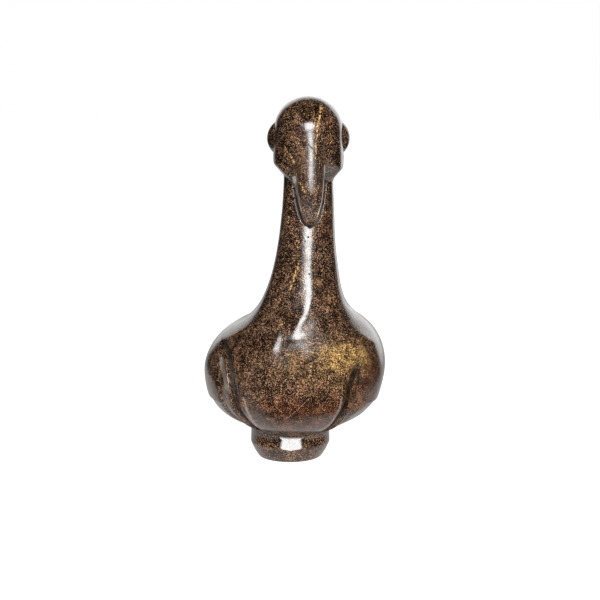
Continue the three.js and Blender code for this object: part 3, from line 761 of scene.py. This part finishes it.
def scratch_group():
    """Height of fine crossing sanding marks."""
    group, n, given = node_group("Sanding marks", {"Spacing": 0.0012}, "Height", FLOAT)
    scale = n.math("DIVIDE", 1.0, given["Spacing"])
    marks = []
    for turn in ((35, 10, 48), (-25, 30, -40), (60, -35, 12)):
        along = n.mapped(given["Vector"], turn, (1.0, 0.05, 1.0))
        marks.append(n.noise(along, scale, 1.0))
    height = n.plus(n.plus(marks[0], marks[1]), marks[2])
    n.add("NodeGroupOutput", {"Height": n.times(height, 0.33)})
    return group


def pit_group():
    """A few small pits."""
    group, n, given = node_group("Stone pits", {"Spacing": 0.012, "Pit size": 0.07}, "Mask", FLOAT)
    scale = n.math("DIVIDE", 1.0, given["Spacing"])
    cells = n.add("ShaderNodeTexVoronoi", {"Vector": given["Vector"], "Scale": scale})
    chosen = n.add("ShaderNodeSeparateColor", {0: cells.outputs["Color"]}).outputs[0]
    size = n.times(given["Pit size"], n.ranged(chosen, 0.6, 1.0))
    pit = n.ranged(cells.outputs["Distance"], n.times(size, 0.5), size, 1.0, 0.0)
    n.add("NodeGroupOutput", {"Mask": n.times(pit, n.math("GREATER_THAN", chosen, 0.6))})
    return group


# Share of light flecks in each tone of the stone
BROWN_LIGHT, GOLD_LIGHT, RUST_LIGHT = 0.46, 0.66, 0.44
# Part of the gold beside its patch, and the most that the rust clouds take
GOLD_BESIDE_SHARE = 0.25
CLOUD_SHARE = 0.5
# Layers of marks from the bottom up: the marks, their raggedness, whether gaps break them, how strongly
# they show, and their colour
MARK_LAYERS = (
    (GOLD_STREAKS, 0.006, True, 0.8, "gold"),
    (PALE_SCRATCHES, 0.0006, True, 0.7, "tan"),
    # The next two layers are painted sheen: pale lines that stand in for reflections on the beak and on the
    # breast's rims
    (BEAK_PAINTED_SHEEN, 0.0008, False, 0.75, "painted_sheen"),
    (PAINTED_RIM_SHEEN, 0.004, False, 0.27, "painted_sheen"),
)
DARK_MARK_RAGGEDNESS = 0.0005
# The second strength is that of the painted shade, which darkens the cuts
VEIN_STRENGTH, HOLLOW_SHADE_STRENGTH, PIT_STRENGTH = 0.8, 0.75, 0.9
# How much rougher the stone is in the cuts, and how deep a pit is against the unevenness
HOLLOW_ROUGHNESS = 0.3
PIT_DEPTH = 2.0


def stone_material(look):
    """Dark brown polished serpentine with gold and rust flecks."""
    material = bpy.data.materials.new("polished_serpentine")
    material.use_nodes = True
    tree = material.node_tree
    tree.nodes.clear()
    n = Nodes(tree)
    place = n.add("ShaderNodeTexCoord").outputs["Object"]
    flecks, patch, veins = fleck_group(), patch_group(), vein_group()
    streaks, scratches, pits = streak_group(), scratch_group(), pit_group()

    def group(tree_used, inputs, output):
        return n.add("ShaderNodeGroup", {"Vector": place, **inputs}, node_tree=tree_used).outputs[output]

    def marked(marks, raggedness, broken):
        total = None
        for start, end, half in marks:
            inputs = {"From": (start[0] * MM, 0, start[1] * MM), "To": (end[0] * MM, 0, end[1] * MM),
                      "Half width": half * MM, "Raggedness": raggedness}
            mask = group(streaks, inputs, "Mask")
            total = mask if total is None else n.larger(total, mask)
        if broken:
            total = n.times(total, n.ranged(n.noise(place, 620.0, 2.0, 0.6), 0.47, 0.56))
        return total

    def masked(centre, reach, border, size):
        inputs = {"Centre": centre, "Reach": reach, "Border": border, "Break size": size}
        return group(patch, inputs, "Mask")

    def flecked(middle, light, share):
        inputs = {"Fleck size": look.fleck_size, "Light share": share, "Dark": (*look.dark, 1),
                  "Middle": (*middle, 1), "Light": light}
        return group(flecks, inputs, "Color")

    def laid_on(under, mask, share, over):
        return n.mixed(n.times(mask, share), under, (*over, 1))

    # The stone itself: brown, with gold and rust patches
    golden = n.ranged(n.noise(place, 230.0, 2.0, 0.6), 0.61, 0.71)
    brown = flecked(look.brown, n.mixed(golden, (*look.tan, 1), (*look.gold, 1)), BROWN_LIGHT)
    gold = flecked(look.ochre, n.mixed(golden, (*look.gold, 1), (*look.tan, 1)), GOLD_LIGHT)
    rust = flecked(look.rust, n.mixed(golden, (*look.rust_fleck, 1), (*look.gold, 1)), RUST_LIGHT)
    gold_beside = n.times(masked(*GOLD_BESIDE), GOLD_BESIDE_SHARE)
    gold_mask = n.larger(masked(*GOLD_PATCH), gold_beside)
    rust_mask = n.larger(masked(*RUST_WING), masked(*RUST_BELOW))
    tint = n.ranged(n.noise(place, 28.0, 3.0, 0.6), 0.45, 0.75, 0.0, CLOUD_SHARE)
    color = n.mixed(tint, brown, rust)
    color = n.mixed(rust_mask, color, rust)
    color = n.mixed(gold_mask, color, gold)
    streak = group(veins, {"Spacing": 0.03, "Thickness": 0.02, "Amount": look.vein_amount}, "Mask")
    color = laid_on(color, streak, VEIN_STRENGTH, look.gold)
    for marks, raggedness, broken, strength, tone in MARK_LAYERS:
        color = laid_on(color, marked(marks, raggedness, broken), strength, getattr(look, tone))

    # Sanding marks on the breast, painted shade darkening the cuts, and pits
    breast = masked(*DULL_BREAST)
    sanding = group(scratches, {"Spacing": 0.0011}, "Height")
    rubbed = n.ranged(breast, 0.0, 1.0, 0.04, 0.05, smooth=False)
    rubbed = n.times(n.ranged(sanding, 0.56, 0.64), rubbed)
    color = n.mixed(rubbed, color, (*look.tan, 1))
    hollow = n.add("ShaderNodeAttribute", attribute_name="hollow").outputs["Fac"]
    # Painted shade: the colour darkens with how deep in a hollow each point lies
    hollow_shade = n.ranged(hollow, 0.15, 0.75)
    color = laid_on(color, hollow_shade, HOLLOW_SHADE_STRENGTH, look.hollow_shade)
    # The pits and dark marks take the same near-black colour as the painted shade
    pit = n.larger(group(pits, {}, "Mask"), marked(DARK_MARKS, DARK_MARK_RAGGEDNESS, False))
    color = laid_on(color, pit, PIT_STRENGTH, look.hollow_shade)

    # The polish: duller on the breast, the face and in the cuts
    smoothest, roughest = look.polish - 0.03, look.polish + 0.05
    rough = n.ranged(n.noise(place, 90.0, 4.0, 0.6), 0.3, 0.7, smoothest, roughest)
    face = masked(*DULL_FACE)
    for mask, duller in ((breast, look.dullness), (hollow_shade, HOLLOW_ROUGHNESS), (face, look.face_dullness)):
        rough = n.plus(rough, n.times(mask, duller))
    uneven = n.noise(place, 160.0, 3.0, 0.55)
    sanded = n.ranged(breast, 0.0, 1.0, 0.5, 3.0, smooth=False)
    height = n.plus(n.times(sanding, sanded), uneven)
    height = n.minus(height, n.times(pit, PIT_DEPTH))
    bump = n.add("ShaderNodeBump", {"Strength": 1.0, "Distance": look.bump_depth, "Height": height})
    shine = n.ranged(breast, 0.0, 1.0, 0.5, look.breast_shine, smooth=False)
    shine = n.times(shine, n.ranged(pit, 0.0, 1.0, 1.0, 0.1, smooth=False))
    shader = n.add("ShaderNodeBsdfPrincipled", {"Base Color": color, "Roughness": rough, "IOR": 1.56,
                                                "Specular IOR Level": shine,
                                                "Normal": bump.outputs["Normal"]})
    n.add("ShaderNodeOutputMaterial", {"Surface": shader.outputs[0]})
    return material


COLOR = {"subtype": "COLOR", "size": 3, "min": 0, "max": 1}
SHARE = {"subtype": "FACTOR", "min": 0, "max": 1}
FINE_LENGTH = {"unit": "LENGTH", "precision": 4}


class BirdSizes(bpy.types.PropertyGroup):
    """Sizes of the carving's finish"""

    cell: FloatProperty(
        name="Mesh cell", description="Spacing of the carved mesh's points", default=0.00162, min=0.0012,
        precision=5, unit="LENGTH")
    seam: FloatProperty(
        name="Seam softness", description="Width of the rounding where two forms meet", default=0.0018,
        min=0.0005, precision=5, unit="LENGTH")
    groove_depth: FloatProperty(
        name="Groove depth", description="Depth of the grooves beside the breast", default=0.0072, min=0.0,
        **FINE_LENGTH)
    groove_wall: FloatProperty(
        name="Groove wall", description="Width of the groove's steep outer wall", default=0.003, min=0.001,
        **FINE_LENGTH)
    panel_depth: FloatProperty(
        name="Panel depth", description="Depth of the leaf-shaped wing panel", default=0.0026, min=0.0,
        **FINE_LENGTH)
    wing_edge_depth: FloatProperty(
        name="Wing edge depth", description="Step under the folded wing's lower edge", default=0.0018,
        min=0.0, **FINE_LENGTH)
    wing_edge_width: FloatProperty(
        name="Wing edge width", description="Height over which that step falls", default=0.0025, min=0.001,
        **FINE_LENGTH)
    eye_radius: FloatProperty(
        name="Eye radius", description="Radius of the ball that each eye is the cap of", default=0.0205,
        min=0.01, **FINE_LENGTH)
    eye_line_depth: FloatProperty(
        name="Eye line depth", description="Depth of the line cut round each eye", default=0.0012, min=0.0,
        **FINE_LENGTH)
    eye_line_width: FloatProperty(
        name="Eye line width", description="Width of the line cut round each eye", default=0.0022,
        min=0.0005, **FINE_LENGTH)
    ridge_height: FloatProperty(
        name="Soft ridges", description="Rise of the soft ridges down the front", default=0.0022, min=0.0,
        **FINE_LENGTH)
    beak_line_depth: FloatProperty(
        name="Beak line depth", description="Depth of the line cut round the beak", default=0.0014, min=0.0,
        **FINE_LENGTH)
    beak_line_width: FloatProperty(
        name="Beak line width", description="Width of the line cut round the beak", default=0.0026,
        min=0.0005, **FINE_LENGTH)
    wave_depth: FloatProperty(
        name="Hand waves", description="How far the surface wavers from true", default=0.0005, min=0.0,
        precision=5, unit="LENGTH")
    wave_shortest: FloatProperty(
        name="Shortest wave", description="Shortest wave of the hand-worked surface", default=0.024,
        min=0.005, **FINE_LENGTH)
    wave_longest: FloatProperty(
        name="Longest wave", description="Longest wave of the hand-worked surface", default=0.06, min=0.005,
        **FINE_LENGTH)
    hollow_reach: FloatProperty(
        name="Hollow reach", description="Distance that tells hollows from open faces", default=0.004,
        min=0.001, **FINE_LENGTH)
    seed: IntProperty(name="Seed", description="Choice of the waves", default=11)


class BirdLook(bpy.types.PropertyGroup):
    """Colours and polish of the stone"""

    dark: FloatVectorProperty(
        name="Dark stone", description="Colour between the flecks", default=(0.005, 0.003, 0.002), **COLOR)
    brown: FloatVectorProperty(
        name="Brown fleck", description="Commonest fleck", default=(0.016, 0.0078, 0.0044), **COLOR)
    tan: FloatVectorProperty(
        name="Tan fleck", description="Lightest fleck", default=(0.52, 0.3, 0.18), **COLOR)
    ochre: FloatVectorProperty(
        name="Ochre fleck", description="Darker gold fleck", default=(0.045, 0.022, 0.006), **COLOR)
    gold: FloatVectorProperty(
        name="Gold fleck", description="Gold patches and streaks", default=(0.9, 0.55, 0.2), **COLOR)
    rust: FloatVectorProperty(
        name="Rust fleck", description="Reddish clouds", default=(0.042, 0.0145, 0.007), **COLOR)
    # Painted sheen: the pale colour of the lines that stand in for reflections on the beak and the breast's
    # rims
    painted_sheen: FloatVectorProperty(
        name="Worn edge", description="Paler stone where edges are rubbed", default=(0.6, 0.54, 0.48),
        **COLOR)
    rust_fleck: FloatVectorProperty(
        name="Rust light fleck", description="Lighter fleck of the reddish clouds",
        default=(0.42, 0.17, 0.08), **COLOR)
    # Painted shade: the near-black laid into the cuts, also the colour of the pits
    hollow_shade: FloatVectorProperty(
        name="Hollow colour", description="Old wax and dust in the cuts", default=(0.006, 0.005, 0.004),
        **COLOR)
    fleck_size: FloatProperty(
        name="Fleck size", description="Width of a fleck", default=0.0015, min=0.0004, **FINE_LENGTH)
    vein_amount: FloatProperty(
        name="Streaks", description="How much of the stone has gold streaks", default=0.5, **SHARE)
    polish: FloatProperty(
        name="Roughness", description="Roughness of the well-polished parts", default=0.19, min=0.02, max=1,
        subtype="FACTOR")
    dullness: FloatProperty(
        name="Breast roughness", description="Roughness that the breast has on top", default=0.33, **SHARE)
    face_dullness: FloatProperty(
        name="Face roughness", description="Roughness that the face and beak have on top", default=0.11,
        **SHARE)
    breast_shine: FloatProperty(
        name="Breast shine", description="Strength of reflections on the unwaxed breast", default=0.03,
        **SHARE)
    bump_depth: FloatProperty(
        name="Surface relief", description="Depth of sanding marks and unevenness", default=0.00012, min=0,
        precision=5, unit="LENGTH")


class StudioLook(bpy.types.PropertyGroup):
    """The floor, the lights and the camera"""

    floor_color: FloatVectorProperty(
        name="Floor", description="Colour of the floor", default=(0.86, 0.86, 0.86), **COLOR)
    floor_glow: FloatProperty(
        name="Floor glow", description="Light that the floor adds, as paper lit from behind", default=0.97,
        min=0)
    floor_bounce: FloatProperty(
        name="Floor bounce", description="Part of the floor's glow that reaches the bird", default=0.3,
        min=0)
    floor_reach: FloatProperty(
        name="Floor reach", description="How far the floor runs back", default=6.0, min=0.5, unit="LENGTH")
    floor_side: FloatProperty(
        name="Floor side", description="Half the floor's width at its front edge", default=0.26, min=0.1,
        unit="LENGTH")
    floor_front: FloatProperty(
        name="Floor front", description="How far the floor runs towards the camera", default=0.55, min=0.2,
        unit="LENGTH")
    front_light: FloatProperty(
        name="Front softbox", description="Power of the tall oval softbox beside the camera", default=75.0,
        min=0)
    surround: FloatProperty(
        name="White sheet", description="Brightness of the white sheet behind the bird", default=1.8, min=0)
    sheet_edge: FloatProperty(
        name="Sheet edge", description="Cosine of the angle at which the white sheet ends", default=0.85,
        min=-1, max=1)
    sheet_aside: FloatProperty(
        name="Sheet aside", description="How much further the white sheet comes on the right", default=0.13,
        min=-1, max=1)
    sheet_above: FloatProperty(
        name="Sheet above", description="How much further the white sheet comes overhead", default=0.18,
        min=-1, max=1)
    sheet_top: FloatProperty(
        name="Sheet top", description="Share of the sheet's brightness that is left overhead", default=0.05,
        **SHARE)
    sheet_left: FloatProperty(
        name="Sheet left", description="Share of the sheet's brightness that is left on the left",
        default=0.62, **SHARE)
    camera_dark: FloatProperty(
        name="Dark front", description="Brightness of the room behind the camera", default=0.03, min=0)


class OBJECT_OT_serpentine_bird(bpy.types.Operator):
    """Carve the bird as one piece and give it its polished stone"""

    bl_idname = "object.serpentine_bird"
    bl_label = "Carve the bird"

    def execute(self, context):
        scene = context.scene
        mesh = stone_mesh(scene.bird_sizes)
        if not mesh.polygons:
            raise RuntimeError("the carving came out empty")
        mesh.materials.append(stone_material(scene.bird_look))
        bird = bpy.data.objects.new("carved_bird", mesh)
        scene.collection.objects.link(bird)
        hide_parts(NODE)
        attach(bird, "root")
        return {"FINISHED"}


def aimed(obj, target):
    direction = [t - p for t, p in zip(target, obj.location)]
    flat = math.hypot(direction[0], direction[1])
    obj.rotation_euler = (math.pi / 2 + math.atan2(direction[2], flat), 0,
                          math.atan2(direction[1], direction[0]) - math.pi / 2)


def softbox(name, place, target, size, power):
    light = bpy.data.lights.new(name, "AREA")
    light.shape = "ELLIPSE"
    light.size, light.size_y = size
    light.energy = power
    box = bpy.data.objects.new(name, light)
    box.location = place
    aimed(box, target)
    bpy.context.scene.collection.objects.link(box)


class SCENE_OT_bird_studio(bpy.types.Operator):
    """Set up the floor, the softbox, the white sheet behind the bird and the camera"""

    bl_idname = "scene.bird_studio"
    bl_label = "Set up the studio"

    def execute(self, context):
        scene = context.scene
        look = scene.bird_studio
        reach, front, side = look.floor_reach, -look.floor_front, look.floor_side
        wide = side + FLOOR_SPREAD * (reach - front)
        corners = [(-side, front, 0.0), (side, front, 0.0), (wide, reach, 0.0), (-wide, reach, 0.0)]
        mesh = bpy.data.meshes.new("floor")
        mesh.from_pydata(corners, [], [(0, 1, 2, 3)])
        material = bpy.data.materials.new("pale_floor")
        material.use_nodes = True
        shader = material.node_tree.nodes["Principled BSDF"]
        shader.inputs["Base Color"].default_value = (*look.floor_color, 1)
        shader.inputs["Roughness"].default_value = 0.9
        shader.inputs["Specular IOR Level"].default_value = 0.1
        shader.inputs["Emission Color"].default_value = (1, 1, 1, 1)
        n = Nodes(material.node_tree)
        direct = n.add("ShaderNodeLightPath").outputs["Is Camera Ray"]
        glow = n.ranged(direct, 0.0, 1.0, look.floor_bounce, look.floor_glow, smooth=False)
        material.node_tree.links.new(glow, shader.inputs["Emission Strength"])
        mesh.materials.append(material)
        floor = bpy.data.objects.new("floor", mesh)
        scene.collection.objects.link(floor)

        world = bpy.data.worlds.new("studio")
        world.use_nodes = True
        world.node_tree.nodes.clear()
        n = Nodes(world.node_tree)
        direction = n.add("ShaderNodeTexCoord").outputs["Generated"]
        split = n.add("ShaderNodeSeparateXYZ", {0: direction})
        behind = n.plus(split.outputs["Y"], n.times(split.outputs["X"], look.sheet_aside))
        behind = n.plus(behind, n.times(split.outputs["Z"], look.sheet_above))
        inner, outer = look.sheet_edge - SHEET_BORDER, look.sheet_edge + SHEET_BORDER
        shade = n.ranged(behind, inner, outer, look.camera_dark, look.surround)
        overhead = n.ranged(split.outputs["Z"], *SHEET_TOP_RISE, 1.0, look.sheet_top)
        left = n.ranged(split.outputs["X"], *SHEET_LEFT_RISE, look.sheet_left, 1.0)
        shade = n.times(n.times(shade, overhead), left)
        seen = n.add("ShaderNodeLightPath").outputs["Is Camera Ray"]
        level = n.ranged(seen, 0, 1, shade, 1.0, smooth=False)
        ground = n.add("ShaderNodeBackground", {"Color": (1, 1, 1, 1), "Strength": level})
        n.add("ShaderNodeOutputWorld", {"Surface": ground.outputs[0]})
        scene.world = world

        softbox("front softbox", SOFTBOX_PLACE, SOFTBOX_AIM, SOFTBOX_SIZE, look.front_light)

        camera = bpy.data.objects.new("camera", bpy.data.cameras.new("camera"))
        camera.location = CAMERA_PLACE
        camera.rotation_euler = (math.radians(90 - CAMERA_DIP), 0, 0)
        camera.data.sensor_width = SENSOR
        camera.data.lens = SENSOR * FOCAL_OVER_SENSOR
        scene.collection.objects.link(camera)
        scene.camera = camera
        scene.view_settings.view_transform = "Standard"
        return {"FINISHED"}


class VIEW3D_PT_serpentine_bird(bpy.types.Panel):
    """Sizes, colours and steps of the serpentine bird"""

    bl_label = "Serpentine Bird"
    bl_idname = "VIEW3D_PT_serpentine_bird"
    bl_space_type = "VIEW_3D"
    bl_region_type = "UI"
    bl_category = "Bird"

    def draw(self, context):
        layout = self.layout
        layout.operator(OBJECT_OT_serpentine_bird.bl_idname)
        layout.operator(SCENE_OT_bird_studio.bl_idname)
        for group in (context.scene.bird_sizes, context.scene.bird_look, context.scene.bird_studio):
            box = layout.box()
            for name in group.bl_rna.properties.keys():
                if name not in {"rna_type", "name"}:
                    box.prop(group, name)


CLASSES = (BirdSizes, BirdLook, StudioLook, OBJECT_OT_serpentine_bird, SCENE_OT_bird_studio,
           VIEW3D_PT_serpentine_bird)


def register():
    for cls in CLASSES:
        bpy.utils.register_class(cls)
    bpy.types.Scene.bird_sizes = PointerProperty(type=BirdSizes)
    bpy.types.Scene.bird_look = PointerProperty(type=BirdLook)
    bpy.types.Scene.bird_studio = PointerProperty(type=StudioLook)


def unregister():
    del bpy.types.Scene.bird_studio
    del bpy.types.Scene.bird_look
    del bpy.types.Scene.bird_sizes
    for cls in reversed(CLASSES):
        bpy.utils.unregister_class(cls)


def main():
    register()
    bpy.ops.object.serpentine_bird()
    bpy.ops.scene.bird_studio()


if __name__ == "__main__":
    main()
